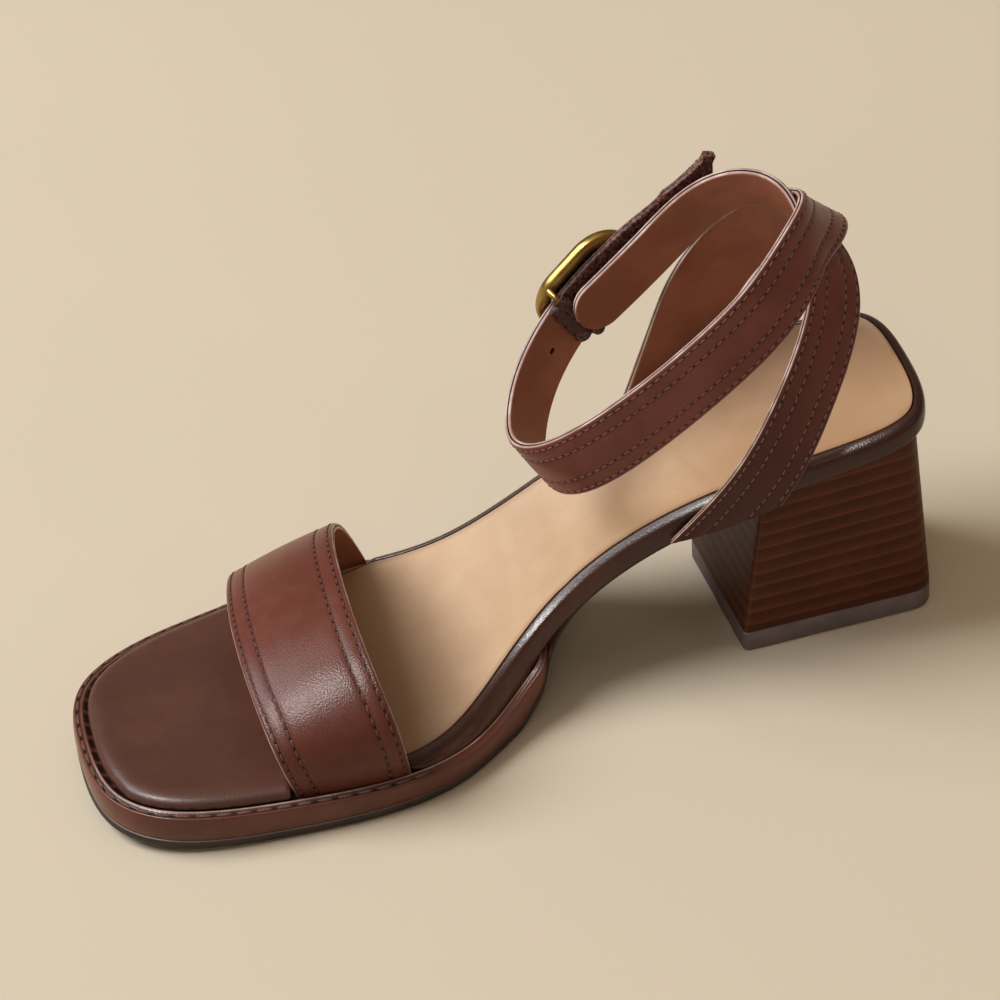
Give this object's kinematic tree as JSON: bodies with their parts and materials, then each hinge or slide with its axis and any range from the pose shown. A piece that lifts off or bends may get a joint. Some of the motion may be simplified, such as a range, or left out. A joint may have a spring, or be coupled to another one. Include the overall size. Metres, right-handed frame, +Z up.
{
  "type": "heeled sandal",
  "caption": "Brown leather sandal with a stacked block heel, low stitched platform, square open toe, wide toe strap and a crossed ankle strap with a gold-toned buckle.",
  "frame": {"origin": "on the floor under the middle of the shoe's bounding box", "axes": "+X from heel to toe, +Y to the inner (big toe) side, +Z up from the floor"},
  "size_m": [0.2454, 0.0968, 0.1423],
  "materials": {
    "leather_brown": "smooth satin reddish brown leather, stitched along its edges",
    "sock_tan": "fine grained tan lining leather with a soft sheen",
    "sole_dark": "matt dark brown sole sheet",
    "heel_stack": "stacked leather look, fine lighter layer lines on dark brown, waxed",
    "lift_grey": "matt dark grey",
    "buckle_gilt": "polished old gold plating"
  },
  "bodies": {
    "root": {"footbed": "leather_brown", "sock": "sock_tan", "platform": "leather_brown", "outsole": "sole_dark", "heel_block": "heel_stack", "top_lift": "lift_grey", "vamp_strap": "leather_brown", "ankle_straps": "leather_brown", "buckle_frame": "buckle_gilt", "buckle_prong": "buckle_gilt"}
  },
  "joints": []
}
